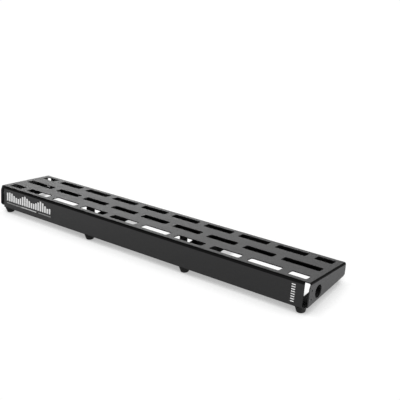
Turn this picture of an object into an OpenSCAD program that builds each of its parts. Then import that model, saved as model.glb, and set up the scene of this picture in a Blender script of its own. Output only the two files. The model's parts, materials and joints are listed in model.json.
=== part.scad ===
// Slotted pedalboard: a folded sheet deck on two cross braces and eight rubber feet.
// The part's frame: X along the deck, -Y is the tall side, +Z is up, and the feet stand on z = 0.
// The deck's own frame has its origin at the centre of the outer top face, which is its z = 0.

/* [Deck] */
// Length of the deck over its end panels
deck_l = 812; // [795:1:830]
// Depth of the deck over its tall and low panels
deck_w = 148; // [145:1:152]
// Thickness of the folded sheet
sheet_t = 2; // [1.5:0.1:2.2]
// Outer radius of the bends round the top face
bend_r = 4; // [3.5:0.1:5]
// Outer radius of the bends along the bottom edges
lip_r = 3; // [2.8:0.1:3.5]
// Height of the tall panel
front_h = 52.1; // [51:0.1:53]
// Height of the low panel
rear_h = 27; // [26.5:0.1:28]
// Width of the flanges under the tall and low panels
flange_w = 24; // [22:0.5:25]
// Distance from an end panel's outer face to the end of the tall and low panels
corner_gap = 11.6; // [10:0.1:13]

/* [Slots] */
// Distance from one slot's centre to the next one's
slot_pitch = 85.8; // [85:0.1:86.5]
// Length of a whole slot
slot_l = 68; // [62:1:72]
// Width of every slot
slot_w = 19.6; // [17:0.1:21]
// Radius of the slots' corners
slot_r = 3.5; // [2:0.5:5]
// Distance from the middle row to each outer row
row_gap = 51.2; // [50:0.1:52]
// Distance from an end panel's outer face to the end slots
slot_margin = 15.6; // [14:0.1:17]

/* [End panels] */
// Height of an end panel at its tall corner
end_front_h = 47.4; // [46:0.1:47.9]
// Height of an end panel at its low corner
end_rear_h = 27.9; // [27:0.1:28.5]
// Width of the flange under an end panel
end_flange_w = 25; // [20:1:27]
// Radius of the socket hole in each end panel
socket_r = 12.5; // [11:0.5:13]
// Distance from the tall panel's outer face to the socket hole's centre
socket_inset = 34.8; // [33:0.1:38]
// Depth of the socket hole's centre below the top face
socket_drop = 24.5; // [23:0.1:25]
// Radius of the two screw holes beside each socket hole
plate_hole_r = 1.7; // [1.2:0.1:2]
// Distance from the tall panel's outer face to the screw holes
plate_hole_inset = 9.4; // [8:0.1:14]
// Distance between the two screw holes
plate_hole_gap = 16.6; // [15:0.1:20]

/* [Cross braces] */
// Outside width of a brace
brace_w = 64; // [58:1:66]
// Height of a brace's low side walls
brace_wall_h = 15; // [12:0.5:16]
// Outer radius of a brace's bends
brace_r = 4; // [3:0.5:5]
// Distance from the deck's middle line to the near edge of a post on the tall side
post_near = 16; // [14:0.5:20]
// Distance from the deck's middle line to the near edge of a post on the low side
low_post_near = 24; // [14:0.5:28]
// Distance from the deck's middle line to a post's far edge
post_far = 41; // [38:0.5:41]

/* [Feet] */
// Height of a foot
foot_h = 12; // [11.5:0.1:13.5]
// Radius of a foot where it meets the flange
foot_top_r = 11.6; // [10:0.1:11.8]
// Radius of a foot near the ground
foot_base_r = 8.6; // [8:0.1:9.5]
// Rounding round the bottom of a foot
foot_round = 1.4; // [1:0.1:2]
// Distance from a panel's bottom corner to the middle of its feet
foot_inset = 11.9; // [11.8:0.1:14]
// Distance from an end panel's outer face to the middle of the end feet
foot_end_inset = 19.2; // [17.2:0.1:24]

/* [Fasteners] */
// Radius of a foot screw's shank
screw_r = 2; // [1.5:0.1:2]
// Radius of a foot screw's head
head_r = 3.8; // [3.4:0.1:4]
// Height of a foot screw's head
head_h = 2.4; // [2:0.1:2.6]
// Thickness of a washer
washer_t = 1; // [0.8:0.1:1.2]
// Height of a clinch nut above its sheet
nut_h = 3; // [2.5:0.1:3.2]

/* [Hidden] */

bend_steps = 10;                          // flats round a quarter bend
over = 1;                                 // how far a cutter runs past a face
half_l = deck_l / 2;
half_w = deck_w / 2;
panel_half_l = half_l - corner_gap;
row_slots = 10;                           // slots in each outer row; the middle row has one less
end_setback = 2.5;                        // from the low panel's outer face to an end panel's edge
relief_w = 3;                             // from the tall and low panels' outer faces to an end bend
relief_drop = 11;                         // from the top face down to an end panel's full width
end_flange_inset = 2;                     // from an end panel's edges to its flange
notch_gap = 1;                            // between the flange under an end panel and the low panel's
nut_room_r = 5.6;                         // hole in an end panel's flange round a foot's clinch nut
nut_room_h = 8;
lip_relief = 0.3;                         // step up in the end panel's edge past its flange's bend
wall_clear = 4;                           // room between a brace's ends and the panels' bends

recess_r = 5;                             // recess in a foot for the screw's head
recess_h = 5.5;
washer_r = 4.7;
foot_hole_r = 2.2;
clearance_r = 2.3;                        // hole in a flange that a nut isn't pressed into
nut_r = 3.9;
nut_shank_r = 2.7;
nut_shank_h = sheet_t - 0.3;
thread_gap = 0.04;                        // between a screw's shank and a nut's thread
drive_r = 1.3;                            // hexagonal drive in a screw's head
drive_h = 1.4;

// The bottom edges of the tall and low panels lie in one level plane, which sets the tilt.
tilt = atan((front_h - rear_h) / deck_w);
end_w = deck_w - end_setback;
end_slope = atan((end_front_h - end_rear_h) / end_w);

// A point [y, z] of the deck's frame in level axes, and back again.
function level(p) = [p[0] * cos(tilt) + p[1] * sin(tilt), p[1] * cos(tilt) - p[0] * sin(tilt)];
function unlevel(p) = [p[0] * cos(tilt) - p[1] * sin(tilt), p[1] * cos(tilt) + p[0] * sin(tilt)];

lip_front = level([-half_w, -front_h]);
lip_rear = level([half_w, -rear_h]);
reach_front = lip_front[0] + lip_r / tan((90 - tilt) / 2) - lip_r;
reach_rear = level([half_w, 0])[0];
y_shift = -(reach_front + reach_rear) / 2;
z_shift = foot_h - lip_front[1];
front_feet_y = lip_front[0] + foot_inset + y_shift;
rear_feet_y = lip_rear[0] - foot_inset + y_shift;
flange_top = foot_h + sheet_t;
web_top = flange_top + sheet_t;
mid_x = 1.5 * slot_pitch;
end_x = half_l - foot_end_inset;

// Corner of a folded strip that turns right at p, with the bend's outer radius and this radius.
function unit(v) = v / norm(v);
function right_of(v) = [v[1], -v[0]];
function corner(a, p, b, outer_r, r) =
    let(
        u = unit(p - a),
        w = unit(b - p),
        turn = acos(u * w),
        middle = p - u * outer_r * tan(turn / 2) + right_of(u) * outer_r,
        start = atan2(u[0], -u[1]),
        steps = ceil(bend_steps * turn / 90)
    )
    [for (i = [0:steps]) middle + r * [cos(start - turn * i / steps), sin(start - turn * i / steps)]];

// One side of the strip, this far in from its outer face.
function side(path, radii, depth) =
    let(
        n = len(path) - 1,
        first = path[0] + right_of(unit(path[1] - path[0])) * depth,
        last = path[n] + right_of(unit(path[n] - path[n - 1])) * depth,
        bends = [for (i = [1:n - 1])
            each corner(path[i - 1], path[i], path[i + 1], radii[i - 1], radii[i - 1] - depth)]
    )
    concat([first], bends, [last]);

function reversed(list) = [for (i = [len(list) - 1:-1:0]) list[i]];

// Cross-section of a strip of sheet folded along a path whose outer face is on its left.
module folded(path, radii) {
    polygon(concat(side(path, radii, 0), reversed(side(path, radii, sheet_t))));
}

// Extrusions of a cross-section along X, and along Y.
module along_x(from, to) {
    translate([from, 0, 0]) rotate([90, 0, 90]) linear_extrude(to - from) children();
}
module along_y(from, to) {
    translate([0, to, 0]) rotate([90, 0, 0]) linear_extrude(to - from) children();
}

module in_deck_frame() {
    translate([0, y_shift, z_shift]) rotate([-tilt, 0, 0]) children();
}

module both_ends() {
    children();
    mirror([1, 0, 0]) children();
}

// Top face with the tall and low panels and their flanges, folded from one strip.
module long_strip() {
    path = [
        unlevel(lip_front + [flange_w, 0]),
        [-half_w, -front_h],
        [-half_w, 0],
        [half_w, 0],
        [half_w, -rear_h],
        unlevel(lip_rear - [flange_w, 0])
    ];
    along_x(-panel_half_l, panel_half_l) folded(path, [lip_r, bend_r, bend_r, lip_r]);
}

// Right-hand end of the top face, its bend, its panel and the flange under the panel.
module end_fold() {
    bend_path = [[panel_half_l, 0], [half_l, 0], [half_l, -bend_r - over]];
    along_y(relief_w - half_w, half_w - relief_w) folded(bend_path, [bend_r]);
    edge_rise = (lip_r + lip_relief) / cos(end_slope);
    along_x(half_l - sheet_t, half_l) polygon([
        [relief_w - half_w, -bend_r],
        [-half_w, -relief_drop],
        [-half_w, -end_front_h + edge_rise],
        [-half_w + end_w, -end_rear_h + edge_rise],
        [-half_w + end_w, -relief_drop],
        [half_w - relief_w, -bend_r]
    ]);
    flange_path = [[half_l, lip_r + over], [half_l, 0], [half_l - end_flange_w, 0]];
    lip_path = [flange_path[0], flange_path[1], [panel_half_l + notch_gap, 0]];
    translate([0, -half_w, -end_front_h]) rotate([end_slope, 0, 0]) {
        along_y(end_flange_inset, deck_w - flange_w - notch_gap) folded(flange_path, [lip_r]);
        along_y(end_flange_inset, end_w - end_flange_inset) folded(lip_path, [lip_r]);
    }
}

// Cutter for one slot between two X positions, in the row at this Y.
module slot(from, to, y) {
    translate([0, y, -sheet_t - over]) linear_extrude(sheet_t + 2 * over) {
        translate([from + slot_r, -slot_w / 2]) square([to - from - 2 * slot_r, slot_w]);
        translate([from, -slot_w / 2 + slot_r]) square([to - from, slot_w - 2 * slot_r]);
        for (x = [from + slot_r, to - slot_r], dy = [slot_r - slot_w / 2, slot_w / 2 - slot_r])
            translate([x, dy]) circle(r = slot_r, $fn = 24);
    }
}

// Outer rows end in short slots, and the middle row ends in long ones.
module slots() {
    limit = half_l - slot_margin;
    for (y = [-row_gap, row_gap], i = [0:row_slots - 1]) {
        x = (i - (row_slots - 1) / 2) * slot_pitch;
        slot(max(x - slot_l / 2, -limit), min(x + slot_l / 2, limit), y);
    }
    middle_last = row_slots - 2;
    for (i = [0:middle_last]) {
        x = (i - middle_last / 2) * slot_pitch;
        slot(i == 0 ? -limit : x - slot_l / 2, i == middle_last ? limit : x + slot_l / 2, 0);
    }
}

// Socket hole and its two screw holes through the right-hand end panel.
module socket_holes() {
    cut_l = sheet_t + 2 * over;
    translate([half_l - sheet_t - over, socket_inset - half_w, -socket_drop]) rotate([0, 90, 0])
        cylinder(r = socket_r, h = cut_l, $fn = 64);
    for (side = [-1, 1])
        translate([
            half_l - sheet_t - over,
            plate_hole_inset - half_w,
            -socket_drop + side * plate_hole_gap / 2
        ]) rotate([0, 90, 0]) cylinder(r = plate_hole_r, h = cut_l, $fn = 24);
}

module deck() {
    color([0.24, 0.24, 0.25]) difference() {
        in_deck_frame() difference() {
            union() {
                long_strip();
                both_ends() end_fold();
            }
            slots();
            both_ends() socket_holes();
        }
        for (y = [front_feet_y, rear_feet_y], side = [-1, 1]) {
            translate([side * end_x, y, foot_h - over])
                cylinder(r = nut_shank_r, h = sheet_t + 2 * over, $fn = 32);
            translate([side * mid_x, y, foot_h - over])
                cylinder(r = clearance_r, h = sheet_t + 2 * over, $fn = 32);
        }
        for (side = [-1, 1])
            translate([side * end_x, front_feet_y, flange_top + 0.3])
                cylinder(r = nut_room_r, h = nut_room_h, $fn = 32);
    }
}

// Point at this level height on a line that runs square down from the deck's underside.
function square_down(y, height) = level([y, (height + y * sin(tilt)) / cos(tilt)]);

// Channel across the underside, with two posts on each side wall that reach the top face.
module cross_brace(x) {
    from = lip_front[0] + lip_r + wall_clear;
    to = lip_rear[0] - wall_clear;
    half = brace_w / 2;
    low_top = flange_top - z_shift + brace_wall_h;
    channel = [[half, brace_wall_h], [half, 0], [-half, 0], [-half, brace_wall_h]];
    color([0.2, 0.2, 0.21]) difference() {
        translate([x, y_shift, 0]) {
            translate([0, 0, flange_top]) along_y(from, to) folded(channel, [brace_r, brace_r]);
            for (wall = [-half, half - sheet_t], post = [[-post_far, -post_near], [low_post_near, post_far]])
                translate([0, 0, z_shift]) along_x(wall, wall + sheet_t) polygon([
                    level([post[0], -sheet_t]),
                    square_down(post[0], low_top - over),
                    square_down(post[1], low_top - over),
                    level([post[1], -sheet_t])
                ]);
        }
        for (y = [front_feet_y, rear_feet_y])
            translate([x, y, flange_top - over])
                cylinder(r = nut_shank_r, h = sheet_t + 2 * over, $fn = 32);
    }
}

// Tapered rubber foot, hollowed from below for its washer and screw head.
module foot(x, y) {
    taper = (foot_top_r - foot_base_r) / foot_h;
    round_steps = 6;
    edge = [for (i = [0:round_steps])
        [foot_base_r - foot_round, foot_round]
            + foot_round * [sin(90 * i / round_steps), -cos(90 * i / round_steps)]];
    color([0.09, 0.09, 0.09]) translate([x, y, 0]) difference() {
        rotate_extrude($fn = 48) polygon(concat(
            [[0, 0]],
            edge,
            [[foot_base_r + taper * (foot_h - foot_round), foot_h - 0.6], [foot_top_r - 0.6, foot_h], [0, foot_h]]
        ));
        translate([0, 0, -over]) cylinder(r = recess_r, h = recess_h + over, $fn = 32);
        cylinder(r = foot_hole_r, h = foot_h + over, $fn = 32);
    }
}

// Pan-head screw that runs up through its washer, foot and flange into a clinch nut.
module foot_screw(x, y, tip) {
    head_top = recess_h - washer_t;
    translate([x, y, 0]) difference() {
        union() {
            translate([0, 0, head_top - head_h]) cylinder(r = head_r, h = head_h, $fn = 32);
            translate([0, 0, head_top - 0.5]) cylinder(r = screw_r - thread_gap, h = tip - head_top + 0.5, $fn = 24);
        }
        translate([0, 0, head_top - head_h - over]) cylinder(r = drive_r, h = drive_h + over, $fn = 6);
    }
}

module foot_screws_end() {
    color([0.55, 0.55, 0.57])
        for (side = [-1, 1], y = [front_feet_y, rear_feet_y])
            foot_screw(side * end_x, y, flange_top + nut_h);
}

module foot_screws_mid() {
    color([0.55, 0.55, 0.57])
        for (side = [-1, 1], y = [front_feet_y, rear_feet_y])
            foot_screw(side * mid_x, y, web_top + nut_h);
}

module foot_washers() {
    color([0.6, 0.6, 0.62])
        for (x = [-end_x, -mid_x, mid_x, end_x], y = [front_feet_y, rear_feet_y])
            translate([x, y, recess_h - washer_t]) difference() {
                cylinder(r = washer_r, h = washer_t, $fn = 32);
                translate([0, 0, -over]) cylinder(r = foot_hole_r, h = washer_t + 2 * over, $fn = 32);
            }
}

// Nut that is pressed into the sheet from above, with its shank in the sheet's hole.
module clinch_nut(x, y, seat) {
    translate([x, y, seat]) difference() {
        union() {
            cylinder(r = nut_r, h = nut_h, $fn = 32);
            translate([0, 0, -nut_shank_h]) cylinder(r = nut_shank_r, h = nut_shank_h + 0.5, $fn = 32);
        }
        translate([0, 0, -nut_shank_h - over]) cylinder(r = screw_r, h = nut_h + nut_shank_h + 2 * over, $fn = 24);
    }
}

module clinch_nuts_end() {
    color([0.62, 0.6, 0.52])
        for (side = [-1, 1], y = [front_feet_y, rear_feet_y])
            clinch_nut(side * end_x, y, flange_top);
}

module clinch_nuts_mid() {
    color([0.62, 0.6, 0.52])
        for (side = [-1, 1], y = [front_feet_y, rear_feet_y])
            clinch_nut(side * mid_x, y, web_top);
}

deck();
cross_brace(-mid_x);  // cross_brace_left
cross_brace(mid_x);  // cross_brace_right
foot(-end_x, front_feet_y);  // foot_front_end_left
foot(-mid_x, front_feet_y);  // foot_front_mid_left
foot(mid_x, front_feet_y);  // foot_front_mid_right
foot(end_x, front_feet_y);  // foot_front_end_right
foot(-end_x, rear_feet_y);  // foot_rear_end_left
foot(-mid_x, rear_feet_y);  // foot_rear_mid_left
foot(mid_x, rear_feet_y);  // foot_rear_mid_right
foot(end_x, rear_feet_y);  // foot_rear_end_right
foot_screws_end();
foot_screws_mid();
foot_washers();
clinch_nuts_end();
clinch_nuts_mid();
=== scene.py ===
"""Looks of the slotted pedalboard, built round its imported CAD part."""

import json
import math
import random

import bmesh
import bpy
from mathutils import Euler, Matrix, Vector


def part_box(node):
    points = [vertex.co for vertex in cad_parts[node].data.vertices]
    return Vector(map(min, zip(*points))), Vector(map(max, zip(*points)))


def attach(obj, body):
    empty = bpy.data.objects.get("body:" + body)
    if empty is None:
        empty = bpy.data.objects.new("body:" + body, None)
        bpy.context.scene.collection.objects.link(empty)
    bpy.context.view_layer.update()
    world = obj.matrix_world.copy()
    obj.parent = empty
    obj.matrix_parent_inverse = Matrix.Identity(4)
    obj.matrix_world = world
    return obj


MM = 0.001

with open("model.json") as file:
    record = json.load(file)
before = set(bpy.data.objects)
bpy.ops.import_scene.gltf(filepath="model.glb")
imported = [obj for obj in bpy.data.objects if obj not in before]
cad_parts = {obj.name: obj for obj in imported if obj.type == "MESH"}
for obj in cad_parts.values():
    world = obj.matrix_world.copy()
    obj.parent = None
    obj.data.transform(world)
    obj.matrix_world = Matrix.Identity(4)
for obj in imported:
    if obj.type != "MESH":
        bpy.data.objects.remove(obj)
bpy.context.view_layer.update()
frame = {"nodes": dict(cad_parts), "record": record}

MOUNTS = {m["name"]: m for m in frame["record"]["mounts"]}
BRACE_NODES = ("cross_brace_left", "cross_brace_right")
FOOT_NODES = [name for name in frame["nodes"] if name.startswith(("foot_front", "foot_rear"))]
STEEL_NODES = ("foot_screws_end", "foot_screws_mid", "foot_washers")
NUT_NODES = ("clinch_nuts_end", "clinch_nuts_mid")


# ---------------------------------------------------------------- places from the frame

HALF_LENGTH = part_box("deck")[1][0]
HALF_DEPTH = 74 * MM
BEND = 4 * MM  # outer radius of the bends round the top face
RIB_Y = 25.6 * MM  # from the deck's middle line to the deck_top mount's point
TOP_NORMAL = Vector(MOUNTS["deck_top"]["axis"])
TOP_POINT = Vector(MOUNTS["deck_top"]["pos_m"])
TILT = math.atan2(TOP_NORMAL.y, TOP_NORMAL.z)


def deck_frame():
    """Matrix from the deck's own frame, with its origin at the middle of its top face, to the row's."""
    turn = Matrix.Rotation(-TILT, 4, "X")
    along = turn.to_3x3() @ Vector((0, 1, 0))
    return Matrix.Translation(TOP_POINT - along * RIB_Y) @ turn


DECK = deck_frame()


# ---------------------------------------------------------------- camera and lights

CAMERA_PLACE = (0.88423, -1.02789, 0.69783)
CAMERA_TURN = (65.9433, 1.3993, 35.9288)  # degrees
CAMERA_SENSOR = 36.0
CAMERA_LENS = 63.914

# Each light: where it is, what it points at, its width and height, and its power in watts.
LIGHTS = {
    "key": ((0.0, 2.4, 2.0), (0, 0, 0), (2.4, 1.2), 24),
    "left_fill": ((-1.9, -1.6, 0.3), (0, 0, 0.03), (1.6, 0.5), 10),
    "right_fill": ((1.9, -1.6, 0.3), (0, 0, 0.03), (1.6, 0.5), 17),
    "end_fill": ((2.4, 0.9, 0.12), (0.4, 0, 0.03), (1.2, 0.2), 80),
}


def make_camera():
    data = bpy.data.cameras.new("camera")
    data.sensor_width = CAMERA_SENSOR
    data.lens = CAMERA_LENS
    camera = bpy.data.objects.new("camera", data)
    camera.location = CAMERA_PLACE
    camera.rotation_euler = Euler([math.radians(a) for a in CAMERA_TURN], "XYZ")
    bpy.context.scene.collection.objects.link(camera)
    bpy.context.scene.camera = camera


def make_light(name, place, target, size, watts):
    data = bpy.data.lights.new(name, "AREA")
    data.shape = "RECTANGLE"
    data.size, data.size_y = size
    data.energy = watts
    light = bpy.data.objects.new(name, data)
    light.location = place
    light.rotation_euler = (Vector(target) - Vector(place)).to_track_quat("-Z", "Y").to_euler()
    bpy.context.scene.collection.objects.link(light)


# ---------------------------------------------------------------- node trees

MIX_FIRST, MIX_SECOND, MIX_RESULT = 6, 7, 2  # a Mix node's colour sockets


class Nodes:
    """A material or world node tree with short ways to add and join nodes."""

    def __init__(self, owner):
        owner.use_nodes = True
        self.tree = owner.node_tree

    def find(self, kind):
        return next(n for n in self.tree.nodes if n.type == kind)

    def add(self, kind, **values):
        node = self.tree.nodes.new("ShaderNode" + kind)
        for key, value in values.items():
            setattr(node, key, value)
        return node

    def join(self, output, socket):
        self.tree.links.new(output, socket)

    def math(self, operation, first, second=0.0):
        node = self.add("Math", operation=operation)
        for socket, value in zip(node.inputs, (first, second)):
            if isinstance(value, (int, float)):
                socket.default_value = value
            else:
                self.join(value, socket)
        return node.outputs[0]

    def both(self, *factors):
        result = factors[0]
        for factor in factors[1:]:
            result = self.math("MULTIPLY", result, factor)
        return result

    def either(self, *factors):
        result = factors[0]
        for factor in factors[1:]:
            result = self.math("MAXIMUM", result, factor)
        return result

    def ramp(self, value, low, high, to_low=0.0, to_high=1.0, smooth=False):
        node = self.add("MapRange")
        node.interpolation_type = "SMOOTHSTEP" if smooth else "LINEAR"
        node.inputs["From Min"].default_value = low
        node.inputs["From Max"].default_value = high
        node.inputs["To Min"].default_value = to_low
        node.inputs["To Max"].default_value = to_high
        self.join(value, node.inputs["Value"])
        return node.outputs["Result"]

    def step(self, value, low, high):
        """A smooth step from 0 at low to 1 at high."""
        return self.ramp(value, low, high, smooth=True)

    def noise(self, place, scale, detail=2.0, rough=0.5):
        node = self.add("TexNoise")
        node.inputs["Scale"].default_value = scale
        node.inputs["Detail"].default_value = detail
        node.inputs["Roughness"].default_value = rough
        self.join(place, node.inputs["Vector"])
        return node.outputs["Fac"]

    def blend(self, factor, first, second):
        node = self.add("Mix", data_type="RGBA")
        for index, value in ((MIX_FIRST, first), (MIX_SECOND, second)):
            if isinstance(value, tuple):
                node.inputs[index].default_value = (*value, 1)
            else:
                self.join(value, node.inputs[index])
        self.join(factor, node.inputs["Factor"])
        return node.outputs[MIX_RESULT]

    def bump(self, height, strength, distance, normal=None):
        node = self.add("Bump")
        node.inputs["Strength"].default_value = strength
        node.inputs["Distance"].default_value = distance
        self.join(height, node.inputs["Height"])
        if normal is not None:
            self.join(normal, node.inputs["Normal"])
        return node.outputs["Normal"]

    def split(self, place):
        node = self.add("SeparateXYZ")
        self.join(place, node.inputs[0])
        return node.outputs

    def object_place(self):
        return self.add("TexCoord").outputs["Object"]

    def deck_place(self):
        """The place in the deck's own frame, as x, y and z."""
        turn = self.add("Mapping", vector_type="TEXTURE")
        turn.inputs["Location"].default_value = DECK.to_translation()
        turn.inputs["Rotation"].default_value = DECK.to_euler()
        self.join(self.object_place(), turn.inputs["Vector"])
        return self.split(turn.outputs["Vector"])

    def camera_or_rest(self, seen, rest, output):
        """The camera meets one shader, and every other ray the other."""
        mix = self.add("MixShader")
        self.join(self.add("LightPath").outputs["Is Camera Ray"], mix.inputs[0])
        self.join(rest, mix.inputs[1])
        self.join(seen, mix.inputs[2])
        self.join(mix.outputs[0], self.find(output).inputs["Surface"])


# ---------------------------------------------------------------- floor and studio

FLOOR_SIZE = 14
PAPER = 0.8
SHADE_REACH = 0.10
SHADE_SAMPLES = 8
SHADE_OPENNESS = (0.30, 0.75)  # how open the darkest and the first unshaded spot are
SHADE_LIGHT = (0.42, 1.02)  # how bright the camera meets those two

# Where the floor under the board starts to be painted lit, and where it's fully lit.
UNDER_FRONT = (-45 * MM, 0.0)
UNDER_REAR = (78 * MM, 70 * MM)
UNDER_ENDS = (HALF_LENGTH - 8 * MM, HALF_LENGTH - 28 * MM)

# A brace's painted shade there: how far past the brace's right side it reaches, how bright the floor is in
# it, and where it fades out under the brace.
BRACE_SHADE = 15 * MM
BRACE_SHADE_LIGHT = 0.62
BRACE_SHADE_END = (-20 * MM, -30 * MM)

# The studio that every ray but the camera's meets, with bands set to match the photo's tones. Each
# band's limits are parts of a direction: where it starts and where it's full. The two for the left also say
# how bright it is at each of them.
DARK = 0.1
BAND = 2.85
BAND_TOP = (0.42, 0.12)
BAND_BACK = (0.1, 0.6)
BAND_LEFT = (-0.25, -0.75, 0.05, 2.0)
BAND_FAR_LEFT = (-0.98, -0.7, 0.15, 1.0)
FRONT_BAND = 0.62
FRONT_BAND_SIDE = (0.0, -0.5)
FRONT_BAND_TOP = (0.9, 0.6)


def beside_brace(n, x, name):
    """Less than 1 in the shade painted on the floor, just right of a brace."""
    past = n.math("SUBTRACT", x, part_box(name)[1][0])
    shade = n.ramp(past, 0.0, BRACE_SHADE, BRACE_SHADE_LIGHT, 1.0, smooth=True)
    return n.either(shade, n.ramp(past, *BRACE_SHADE_END))


def under_board(n):
    """1 on the floor under the board, painted lit because the photo's slots show it so."""
    x, y = n.split(n.object_place())[:2]
    between = n.step(n.math("ABSOLUTE", x), *UNDER_ENDS)
    across = n.both(n.step(y, *UNDER_FRONT), between, n.ramp(y, *UNDER_REAR))
    for name in BRACE_NODES:
        across = n.both(across, beside_brace(n, x, name))
    return across


def make_floor():
    """White paper to the light. The camera meets a self-lit floor instead, with a soft shade by nearness
    round the board and, under it, light and shade painted by place to match the photo."""
    bpy.ops.mesh.primitive_plane_add(size=FLOOR_SIZE, location=(0, 0, 0))
    floor = bpy.context.object
    floor.name = "floor"
    material, n, paper = material_nodes("floor_white")
    paper.inputs["Base Color"].default_value = (PAPER, PAPER, PAPER, 1)
    paper.inputs["Roughness"].default_value = 1.0
    paper.inputs["Specular IOR Level"].default_value = 0.0
    shade = n.add("AmbientOcclusion", samples=SHADE_SAMPLES)
    shade.inputs["Distance"].default_value = SHADE_REACH
    open_floor = n.ramp(shade.outputs["AO"], *SHADE_OPENNESS, *SHADE_LIGHT)
    seen = n.add("Emission")
    n.join(n.either(open_floor, under_board(n)), seen.inputs["Strength"])
    n.camera_or_rest(seen.outputs[0], paper.outputs[0], "OUTPUT_MATERIAL")
    floor.data.materials.append(material)


def make_world():
    """White behind the board for the camera, and a dim studio with two pale bands for other rays."""
    world = bpy.data.worlds.new("studio")
    bpy.context.scene.world = world
    n = Nodes(world)
    white = n.find("BACKGROUND")
    white.inputs["Color"].default_value = (1, 1, 1, 1)
    white.inputs["Strength"].default_value = 1.0
    x, y, z = n.split(n.add("TexCoord").outputs["Generated"])
    left = n.both(n.ramp(x, *BAND_LEFT), n.ramp(x, *BAND_FAR_LEFT))
    back = n.math("MULTIPLY", n.both(n.step(z, *BAND_TOP), n.step(y, *BAND_BACK), left), BAND)
    front = n.both(n.step(y, *FRONT_BAND_SIDE), n.step(z, *FRONT_BAND_TOP))
    front = n.math("MULTIPLY", front, FRONT_BAND)
    studio = n.add("Background")
    studio.inputs["Color"].default_value = (1, 1, 1, 1)
    n.join(n.math("ADD", n.math("ADD", back, front), DARK), studio.inputs["Strength"])
    n.camera_or_rest(white.outputs[0], studio.outputs[0], "OUTPUT_WORLD")


# ---------------------------------------------------------------- materials

# Noise cells in a metre, with the detail and roughness where they aren't a noise's usual ones.
GRAIN = (1500, 2.5, 0.6)
CLUMPS = (420,)
CLOUDS = (9, 3.0)
RUBBER_GRAIN = (2200,)
RUBBER_DUST = (160, 3.0)
ZINC_CLOUD = (350, 3.0)
ZINC_SCRATCH = (3000,)
MIDDLE = (0.3, 0.7)  # where most of a noise's values lie

# Bumps: strength and depth.
GRAIN_BUMP = (0.35, 0.12 * MM)
CLUMP_BUMP = (0.2, 0.2 * MM)
RUBBER_BUMP = (0.25, 0.1 * MM)
ZINC_BUMP = (0.12, 0.05 * MM)
INK_BUMP = (0.3, 0.1 * MM)

COAT_DARK = (0.014, 0.014, 0.0145)
COAT_LIGHT = (0.030, 0.030, 0.031)
COAT_CLOUD = (0.020, 0.020, 0.020)
# painted shade inside the shell and on the slots' walls
COAT_INSIDE_SHADE = (0.008, 0.008, 0.008)
# painted shade on the bends round the top face
COAT_BEND_SHADE = (0.002, 0.002, 0.002)
COAT_SPECKS = (0.35, 0.68)  # the grain's values at the darkest and the lightest speck
COAT_CLOUDINESS = 0.35
COAT_ROUGH = (0.46, 0.56)
COAT_ROUGH_GRAIN = (-0.03, 0.03)
# The coat's gloss, lowered inside the shell with its painted shade.
COAT_GLOSS = (0.42, 0.14)  # outside and inside
# The bends' painted shade: the gloss it leaves, and the share of it left at the right end.
BEND_SHADE_GLOSS = 0.08  # share of the gloss left on the bends
BEND_SHADE_RIGHT = 0.85  # share of the bends' darkness left at the right end
# The braces' and nuts' coat: the deck's coat darkened as painted shade.
BRACE_DARK = (0.004, 0.004, 0.004)
BRACE_LIGHT = (0.009, 0.009, 0.009)
BRACE_ROUGH = (0.5, 0.6)
BRACE_GLOSS = 0.1
RUBBER_DARK = (0.006, 0.006, 0.006)
RUBBER_LIGHT = (0.014, 0.0135, 0.013)
RUBBER_DUSTY = (0.45, 0.75)
RUBBER_ROUGH = (0.5, 0.68)
RUBBER_GLOSS = 0.35
ZINC = (0.56, 0.56, 0.58)
ZINC_WORN = 0.72
ZINC_WEAR = (0.35, 0.7)
ZINC_ROUGH = (0.24, 0.42)
WHITE_INK = ((0.95, 0.95, 0.95), (0.85, 0.85, 0.85))
GREY_INK = ((0.42, 0.42, 0.42), (0.30, 0.30, 0.30))
INK_SPECKS = (0.3, 0.62)
INK_ROUGH = (0.5, 0.65)

# Where the bends' painted shade starts and where it's full: across the deck, and down from its top.
LONG_BENDS = (HALF_DEPTH - BEND * 0.7, HALF_DEPTH - BEND * 0.3)
LONG_BENDS_LOW = (-BEND * 1.6, -BEND * 1.25)
END_BENDS = (HALF_LENGTH - BEND * 0.95, HALF_LENGTH - BEND * 0.55)
END_BENDS_LOW = (-BEND * 1.1, -BEND * 0.8)

# Where the painted shade inside the shell starts, and where it's full.
INSIDE_TOP = (-0.15 * MM, -0.35 * MM)
INSIDE_LONG = (HALF_DEPTH - 0.8 * MM, HALF_DEPTH - 1.4 * MM)
INSIDE_ENDS = (HALF_LENGTH - 2.2 * MM, HALF_LENGTH - 2.8 * MM)


def material_nodes(name):
    material = bpy.data.materials.new(name)
    n = Nodes(material)
    return material, n, n.find("BSDF_PRINCIPLED")


def painted_bend_shade(n, x, y, z):
    """1 on the bends round the top face: painted shade to match the photo's dark lines."""
    paler = n.ramp(x, -HALF_LENGTH, HALF_LENGTH, 1.0, BEND_SHADE_RIGHT)
    long_bends = n.both(n.step(n.math("ABSOLUTE", y), *LONG_BENDS), n.step(z, *LONG_BENDS_LOW), paler)
    end_bends = n.both(n.step(n.math("ABSOLUTE", x), *END_BENDS), n.step(z, *END_BENDS_LOW))
    return n.either(long_bends, end_bends)


def inside(n, x, y, z):
    """1 within the folded shell and on the walls of its slots, where painted shade darkens the coat too."""
    in_y = n.ramp(n.math("ABSOLUTE", y), *INSIDE_LONG)
    in_x = n.ramp(n.math("ABSOLUTE", x), *INSIDE_ENDS)
    return n.both(n.ramp(z, *INSIDE_TOP), in_y, in_x)


def coat_texture(n, shader):
    """The powder coat's fine texture in the normals; returns the two noises that it is made of."""
    place = n.object_place()
    grain = n.noise(place, *GRAIN)
    clumps = n.noise(place, *CLUMPS)
    fine = n.bump(grain, *GRAIN_BUMP)
    n.join(n.bump(clumps, *CLUMP_BUMP, fine), shader.inputs["Normal"])
    return grain, clumps


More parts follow.
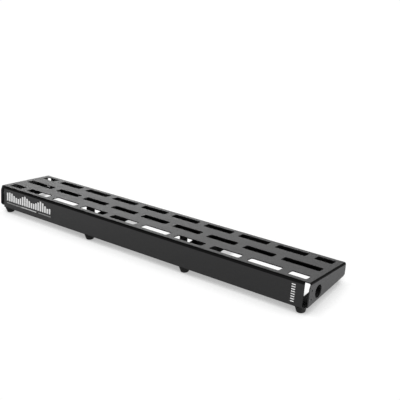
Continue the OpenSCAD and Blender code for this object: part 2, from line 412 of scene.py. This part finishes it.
def powder_coat():
    """Fine-textured black powder coat on folded sheet."""
    material, n, shader = material_nodes("powder_coat")
    grain, clumps = coat_texture(n, shader)
    x, y, z = n.deck_place()
    inside_shade = inside(n, x, y, z)
    bends = painted_bend_shade(n, x, y, z)
    clouds = n.noise(n.object_place(), *CLOUDS)
    base = n.blend(n.ramp(grain, *COAT_SPECKS), COAT_DARK, COAT_LIGHT)
    base = n.blend(n.ramp(clouds, *MIDDLE, 0.0, COAT_CLOUDINESS), base, COAT_CLOUD)
    # painted shade inside the shell
    base = n.blend(inside_shade, base, COAT_INSIDE_SHADE)
    # painted shade on the bends
    n.join(n.blend(bends, base, COAT_BEND_SHADE), shader.inputs["Base Color"])
    rough = n.ramp(clumps, *MIDDLE, *COAT_ROUGH)
    rough = n.math("ADD", rough, n.ramp(grain, *MIDDLE, *COAT_ROUGH_GRAIN))
    n.join(rough, shader.inputs["Roughness"])
    gloss = n.both(n.ramp(inside_shade, 0, 1, *COAT_GLOSS), n.ramp(bends, 0, 1, 1.0, BEND_SHADE_GLOSS))
    n.join(gloss, shader.inputs["Specular IOR Level"])
    return material


def shaded_brace_coat():
    """The deck's coat, darkened as painted shade to match how dark the braces are in the photo."""
    material, n, shader = material_nodes("shaded_brace_powder_coat")
    grain, clumps = coat_texture(n, shader)
    n.join(n.blend(n.ramp(grain, *COAT_SPECKS), BRACE_DARK, BRACE_LIGHT), shader.inputs["Base Color"])
    n.join(n.ramp(clumps, *MIDDLE, *BRACE_ROUGH), shader.inputs["Roughness"])
    shader.inputs["Specular IOR Level"].default_value = BRACE_GLOSS
    return material


def rubber():
    """Matt black rubber with a little dust."""
    material, n, shader = material_nodes("foot_rubber")
    place = n.object_place()
    dust = n.noise(place, *RUBBER_DUST)
    n.join(n.blend(n.ramp(dust, *RUBBER_DUSTY), RUBBER_DARK, RUBBER_LIGHT), shader.inputs["Base Color"])
    n.join(n.ramp(dust, *MIDDLE, *RUBBER_ROUGH), shader.inputs["Roughness"])
    shader.inputs["Specular IOR Level"].default_value = RUBBER_GLOSS
    n.join(n.bump(n.noise(place, *RUBBER_GRAIN), *RUBBER_BUMP), shader.inputs["Normal"])
    return material


def plated_steel():
    """Zinc plate, cloudy and finely scratched."""
    material, n, shader = material_nodes("zinc_steel")
    place = n.object_place()
    cloud = n.noise(place, *ZINC_CLOUD)
    worn = tuple(ZINC_WORN * c for c in ZINC)
    n.join(n.blend(n.ramp(cloud, *ZINC_WEAR), ZINC, worn), shader.inputs["Base Color"])
    shader.inputs["Metallic"].default_value = 1.0
    n.join(n.ramp(cloud, *MIDDLE, *ZINC_ROUGH), shader.inputs["Roughness"])
    n.join(n.bump(n.noise(place, *ZINC_SCRATCH), *ZINC_BUMP), shader.inputs["Normal"])
    return material


def screen_print(name, light, dark):
    """Printed ink: a little uneven, with the coat's grain under it."""
    material, n, shader = material_nodes(name)
    grain = n.noise(n.object_place(), *GRAIN)
    n.join(n.blend(n.ramp(grain, *INK_SPECKS), dark, light), shader.inputs["Base Color"])
    n.join(n.ramp(grain, *MIDDLE, *INK_ROUGH), shader.inputs["Roughness"])
    n.join(n.bump(grain, *INK_BUMP), shader.inputs["Normal"])
    return material


def give(nodes, material):
    for node in nodes:
        mesh = frame["nodes"][node].data
        mesh.materials.clear()
        mesh.materials.append(material)


# ---------------------------------------------------------------- real edges on the CAD pieces

EDGE_ROUND = 0.3 * MM
EDGE_SEGMENTS = 2
SHARP = 35  # degrees; sharper edges are rounded
FLAT = 1.5  # degrees; faces that differ less are merged first
WELD = 0.01 * MM
BIG_FACES = 100  # how far the big faces decide the normals


def soften(node):
    """Rounds a CAD piece's sharp edges by a modifier, as a thick coat does."""
    piece = frame["nodes"][node]
    weld = piece.modifiers.new("weld", "WELD")
    weld.merge_threshold = WELD
    flat = piece.modifiers.new("flat", "DECIMATE")
    flat.decimate_type = "DISSOLVE"
    flat.angle_limit = math.radians(FLAT)
    bevel = piece.modifiers.new("round", "BEVEL")
    bevel.width = EDGE_ROUND
    bevel.segments = EDGE_SEGMENTS
    bevel.limit_method = "ANGLE"
    bevel.angle_limit = math.radians(SHARP)
    bevel.use_clamp_overlap = True
    normals = piece.modifiers.new("normals", "WEIGHTED_NORMAL")
    normals.weight = BIG_FACES
    normals.keep_sharp = False


# ---------------------------------------------------------------- generic printed marks

INK = 0.05 * MM  # how far the ink stands proud of the panel, and reaches into it

METER_LEFT = -384.5 * MM
METER_BARS = 20
METER_PITCH = 7.4 * MM
METER_BAR = 5.0 * MM
METER_BASE = 32.5 * MM
METER_HIGH = 23 * MM
METER_MEAN = 0.72  # a bar's share of the full height, and how far it swings with a sine wave
METER_SWING = 0.28
METER_WAVE = (0.9, 0.6)  # the wave's turn from bar to bar, and at the first one
METER_DAMPING = (0.6, 1.0)
METER_SEED = 4

DASH_DROP = METER_BASE + 4 * MM
DASH_PITCH = 3.6 * MM
DASH = 2.4 * MM
DASH_COUNT = int(METER_BARS * METER_PITCH / DASH_PITCH)
WHITE_DASHES = (0.34, 0.68)  # shares of the line's length
GREY_DASHES = ((0, 0.34), (0.72, 1))

TICK_LEFT = 370 * MM
TICK_TOP = 9.5 * MM
TICK_PITCH = 4.6 * MM
TICK_WIDE = 7.5 * MM
TICK_HIGH = 1.9 * MM
TICK_COUNT = 8


def printed(name, rectangles, material):
    """Thin ink patches on the tall panel: each is (x, depth below the top face, width, height)."""
    mesh = bmesh.new()
    for x, drop, wide, high in rectangles:
        corners = []
        for y in (-HALF_DEPTH - INK, -HALF_DEPTH + INK):
            for dx, dz in ((0, 0), (wide, 0), (wide, -high), (0, -high)):
                corners.append(mesh.verts.new(DECK @ Vector((x + dx, y, -drop + dz))))
        front, rear = corners[:4], corners[4:]
        mesh.faces.new(front[::-1])
        mesh.faces.new(rear)
        for i in range(4):
            j = (i + 1) % 4
            mesh.faces.new((front[i], front[j], rear[j], rear[i]))
    bmesh.ops.recalc_face_normals(mesh, faces=mesh.faces)
    data = bpy.data.meshes.new(name)
    mesh.to_mesh(data)
    mesh.free()
    data.materials.append(material)
    piece = bpy.data.objects.new(name, data)
    bpy.context.scene.collection.objects.link(piece)
    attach(piece, "root")


def meter_bars():
    """A row of level-meter bars, whose heights swell and fall."""
    levels = random.Random(METER_SEED)
    turn, start = METER_WAVE
    bars = []
    for i in range(METER_BARS):
        share = METER_MEAN + METER_SWING * math.sin(turn * i + start) * levels.uniform(*METER_DAMPING)
        high = METER_HIGH * share
        bars.append((METER_LEFT + i * METER_PITCH, METER_BASE - high, METER_BAR, high))
    return bars


def meter_scale(first, last):
    """Short dashes in a line under the bars, from one share of its length to another."""
    spots = [i for i in range(DASH_COUNT) if first <= i / DASH_COUNT < last]
    return [(METER_LEFT + i * DASH_PITCH, DASH_DROP, DASH, DASH) for i in spots]


def fader_ticks():
    """A column of short ticks near the panel's right end."""
    return [(TICK_LEFT, TICK_TOP + TICK_PITCH * i, TICK_WIDE, TICK_HIGH) for i in range(TICK_COUNT)]


# ---------------------------------------------------------------- the scene

make_camera()
make_world()
make_floor()
for light, setting in LIGHTS.items():
    make_light(light, *setting)

give(["deck"], powder_coat())
# the braces and the nuts get the deck's coat darkened as painted shade
give([*BRACE_NODES, *NUT_NODES], shaded_brace_coat())
give(FOOT_NODES, rubber())
give(STEEL_NODES, plated_steel())

for sheet in ("deck", *BRACE_NODES):
    soften(sheet)

white_ink = screen_print("white_ink", *WHITE_INK)
grey_ink = screen_print("grey_ink", *GREY_INK)
printed("meter_bars", meter_bars(), white_ink)
printed("meter_scale_grey", [dash for part in GREY_DASHES for dash in meter_scale(*part)], grey_ink)
printed("meter_scale_white", meter_scale(*WHITE_DASHES), white_ink)
printed("fader_ticks", fader_ticks(), white_ink)

bpy.context.scene.view_settings.view_transform = "Standard"
